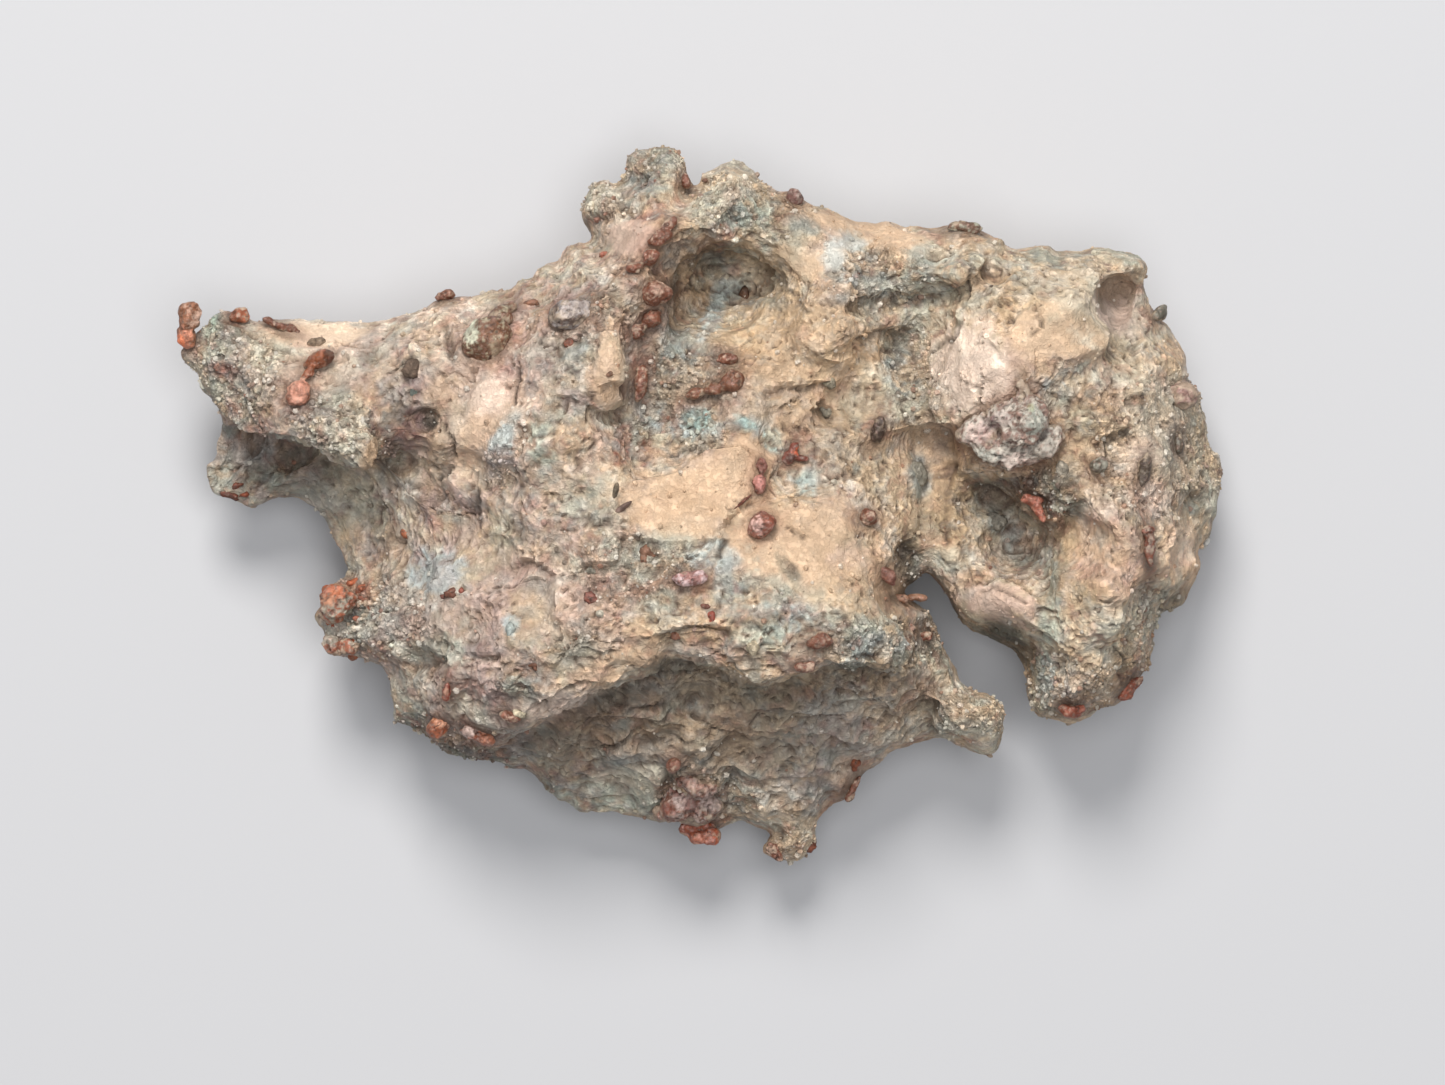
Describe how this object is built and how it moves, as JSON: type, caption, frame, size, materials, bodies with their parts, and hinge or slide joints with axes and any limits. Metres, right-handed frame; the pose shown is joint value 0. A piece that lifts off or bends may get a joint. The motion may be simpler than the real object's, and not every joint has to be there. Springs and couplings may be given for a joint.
{
  "type": "native copper specimen on rock matrix",
  "caption": "Rugged pale rock specimen with an arm, a notch and a side lobe, carrying rounded nuggets and sprigs of native copper in its show face; lies on its back.",
  "frame": {"origin": "middle of the specimen's box, on the surface that its back rests on", "axes": "+X to the right of the show face, along the specimen's length; +Y to the top of the show face; +Z out of the show face, which faces up"},
  "size_m": [0.15, 0.1027, 0.0463],
  "materials": {
    "rock": "matt rough fracture, buff and pink with grey-green and pale blue stains",
    "copper": "tarnished native copper, red-brown with dark brown skin, soft sheen",
    "coated_copper": "native copper under a thin grey and green mineral coat"
  },
  "bodies": {
    "root": {"copper_arm_branch": "copper", "copper_arm_crest": "copper", "copper_arm_sliver": "copper", "copper_bean_lower": "copper", "copper_bean_top": "copper", "copper_bean_upper": "copper", "copper_cluster": "copper", "copper_cluster_cap": "copper", "copper_coated_egg": "coated_copper", "copper_crown": "coated_copper", "copper_crown_foot": "copper", "copper_dark_bead": "copper", "copper_drip": "copper", "copper_drop": "copper", "copper_egg": "copper", "copper_groove_slug": "copper", "copper_horn": "copper", "copper_ledge_bead": "copper", "copper_ledge_slug": "copper", "copper_left_lower": "copper", "copper_left_shoulder": "copper", "copper_low_bar": "copper", "copper_low_bead": "copper", "copper_low_knob": "copper", "copper_low_sliver": "copper", "copper_notch_bead": "copper", "copper_plate": "copper", "copper_plate_bead": "copper", "copper_ridge_slug": "copper", "copper_right_bead": "copper", "copper_right_patch": "coated_copper", "copper_right_rod": "copper", "copper_right_slug": "copper", "copper_right_stud": "copper", "copper_rim_bead": "copper", "copper_rim_strip": "copper", "copper_shoulder_bead": "copper", "copper_side_thorn": "coated_copper", "copper_spindle": "copper", "copper_splinter": "copper", "copper_star": "copper", "copper_stud": "copper", "copper_toe_bottom": "copper", "copper_toe_left": "copper", "copper_toe_right": "copper", "copper_top_ridge": "copper", "copper_top_stud": "copper", "copper_tower_bead": "copper", "copper_wedge": "copper", "rock_matrix": "rock"}
  },
  "joints": []
}
